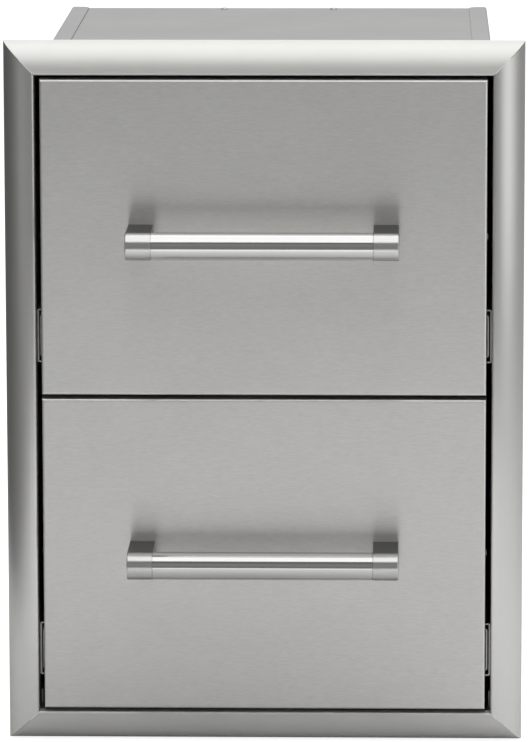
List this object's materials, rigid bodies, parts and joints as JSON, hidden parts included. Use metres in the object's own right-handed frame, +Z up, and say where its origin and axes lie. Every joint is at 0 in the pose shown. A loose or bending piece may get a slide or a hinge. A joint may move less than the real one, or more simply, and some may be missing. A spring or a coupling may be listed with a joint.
{
  "type": "outdoor kitchen drawer unit",
  "caption": "Built-in stainless steel drawer unit for an outdoor kitchen: rounded mitred trim, brushed drawer fronts with tube handles, full-extension ball slides.",
  "frame": {"origin": "on the wall plane, at the middle of the bottom trim rail's rear flange", "axes": "+X to the right along the front, +Y into the wall, +Z up; the drawers open along -Y"},
  "size_m": [0.4318, 0.5825, 0.5905],
  "materials": {
    "trim": "stainless, satin, grain along each rail",
    "front": "stainless, brushed across",
    "cabinet": "stainless, mill finish",
    "box": "stainless, mill finish",
    "handle_bar": "stainless tube, finely polished",
    "handle_post": "stainless, satin",
    "slide": "zinc plated steel",
    "slide_cage": "plain steel strip and bearing balls",
    "fastener": "stainless rivets and screws",
    "rubber": "matt black rubber"
  },
  "bodies": {
    "cabinet": {"cabinet_back": "cabinet", "cabinet_back_rivets": "fastener", "cabinet_bottom": "cabinet", "cabinet_side_left": "cabinet", "cabinet_side_right": "cabinet", "cabinet_slide_rivets": "fastener", "cabinet_top": "cabinet", "lower_slide_bumpers": "rubber", "lower_slide_outer_left": "slide", "lower_slide_outer_right": "slide", "trim_rail_bottom": "trim", "trim_rail_top": "trim", "trim_stile_left": "trim", "trim_stile_right": "trim", "upper_slide_bumpers": "rubber", "upper_slide_outer_left": "slide", "upper_slide_outer_right": "slide"},
    "lower_drawer": {"lower_box_back": "box", "lower_box_bottom": "box", "lower_box_front": "box", "lower_box_rivets": "fastener", "lower_box_side_left": "box", "lower_box_side_right": "box", "lower_front_backing": "box", "lower_front_rivets": "fastener", "lower_front_skin": "front", "lower_handle_bar": "handle_bar", "lower_handle_post_left": "handle_post", "lower_handle_post_right": "handle_post", "lower_handle_screws": "fastener", "lower_slide_inner_left": "slide", "lower_slide_inner_right": "slide"},
    "lower_inner_cages": {"lower_cage_inner_left": "slide_cage", "lower_cage_inner_right": "slide_cage"},
    "lower_outer_cages": {"lower_cage_outer_left": "slide_cage", "lower_cage_outer_right": "slide_cage"},
    "lower_slide_middles": {"lower_slide_middle_left": "slide", "lower_slide_middle_right": "slide"},
    "upper_drawer": {"upper_box_back": "box", "upper_box_bottom": "box", "upper_box_front": "box", "upper_box_rivets": "fastener", "upper_box_side_left": "box", "upper_box_side_right": "box", "upper_front_backing": "box", "upper_front_rivets": "fastener", "upper_front_skin": "front", "upper_handle_bar": "handle_bar", "upper_handle_post_left": "handle_post", "upper_handle_post_right": "handle_post", "upper_handle_screws": "fastener", "upper_slide_inner_left": "slide", "upper_slide_inner_right": "slide"},
    "upper_inner_cages": {"upper_cage_inner_left": "slide_cage", "upper_cage_inner_right": "slide_cage"},
    "upper_outer_cages": {"upper_cage_outer_left": "slide_cage", "upper_cage_outer_right": "slide_cage"},
    "upper_slide_middles": {"upper_slide_middle_left": "slide", "upper_slide_middle_right": "slide"}
  },
  "joints": [
    {"name": "lower_drawer_slide", "type": "slide", "parent": "cabinet", "child": "lower_drawer", "axis": [0, -1, 0], "range_m": [0, 0.45]},
    {"name": "lower_slide_middles_run", "type": "slide", "parent": "cabinet", "child": "lower_slide_middles", "axis": [0, -1, 0], "range_m": [0, 0.225]},
    {"name": "lower_outer_cages_run", "type": "slide", "parent": "cabinet", "child": "lower_outer_cages", "axis": [0, -1, 0], "range_m": [0, 0.1125]},
    {"name": "lower_inner_cages_run", "type": "slide", "parent": "cabinet", "child": "lower_inner_cages", "axis": [0, -1, 0], "range_m": [0, 0.3375]},
    {"name": "upper_drawer_slide", "type": "slide", "parent": "cabinet", "child": "upper_drawer", "axis": [0, -1, 0], "range_m": [0, 0.45]},
    {"name": "upper_slide_middles_run", "type": "slide", "parent": "cabinet", "child": "upper_slide_middles", "axis": [0, -1, 0], "range_m": [0, 0.225]},
    {"name": "upper_outer_cages_run", "type": "slide", "parent": "cabinet", "child": "upper_outer_cages", "axis": [0, -1, 0], "range_m": [0, 0.1125]},
    {"name": "upper_inner_cages_run", "type": "slide", "parent": "cabinet", "child": "upper_inner_cages", "axis": [0, -1, 0], "range_m": [0, 0.3375]}
  ],
  "couplings": [
    {"joint": "lower_slide_middles_run", "follows": "lower_drawer_slide", "ratio": 0.5},
    {"joint": "lower_outer_cages_run", "follows": "lower_drawer_slide", "ratio": 0.25},
    {"joint": "lower_inner_cages_run", "follows": "lower_drawer_slide", "ratio": 0.75},
    {"joint": "upper_slide_middles_run", "follows": "upper_drawer_slide", "ratio": 0.5},
    {"joint": "upper_outer_cages_run", "follows": "upper_drawer_slide", "ratio": 0.25},
    {"joint": "upper_inner_cages_run", "follows": "upper_drawer_slide", "ratio": 0.75}
  ]
}
